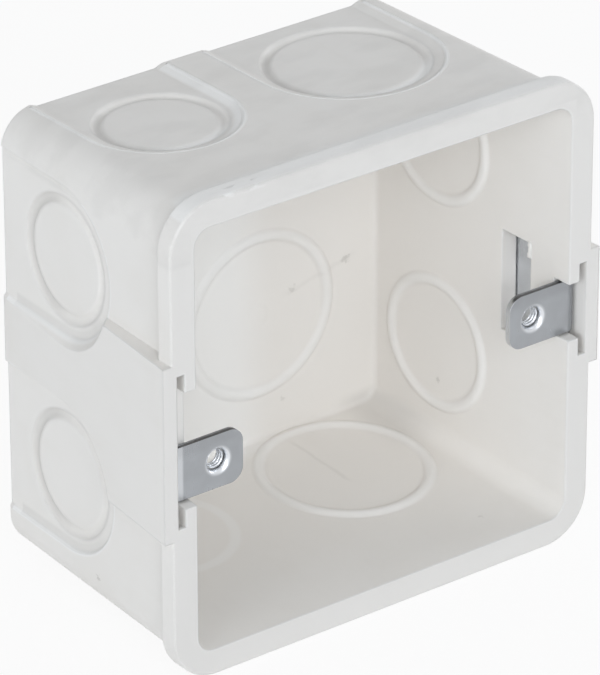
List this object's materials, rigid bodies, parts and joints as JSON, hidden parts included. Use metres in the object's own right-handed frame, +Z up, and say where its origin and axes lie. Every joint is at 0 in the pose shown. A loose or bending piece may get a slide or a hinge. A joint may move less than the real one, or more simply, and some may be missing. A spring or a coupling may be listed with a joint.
{
  "type": "flush mounting box",
  "caption": "Square flush wall box moulded in white plastic, with round knockouts in its walls and threaded steel lugs, fixed and sliding, that take the screws of a faceplate.",
  "frame": {"origin": "centre of the bounding box at its bottom, under the lower edge of the rim and halfway along the depth", "axes": "+Z up, +Y from the open front to the back wall, +X to the right seen from the front"},
  "size_m": [0.083, 0.047, 0.08],
  "materials": {
    "white_plastic": "satin moulded plastic, slightly warm white",
    "left_lug_zinc": "bright zinc plate on folded sheet",
    "right_lug_zinc": "bright zinc plate on folded sheet"
  },
  "bodies": {
    "box": {"box_body": "white_plastic", "right_lug": "right_lug_zinc"},
    "slider": {"left_lug": "left_lug_zinc"}
  },
  "joints": [
    {"name": "lug_slide", "type": "slide", "parent": "box", "child": "slider", "axis": [0, 0, 1], "range_m": [0, 0.0098]}
  ]
}
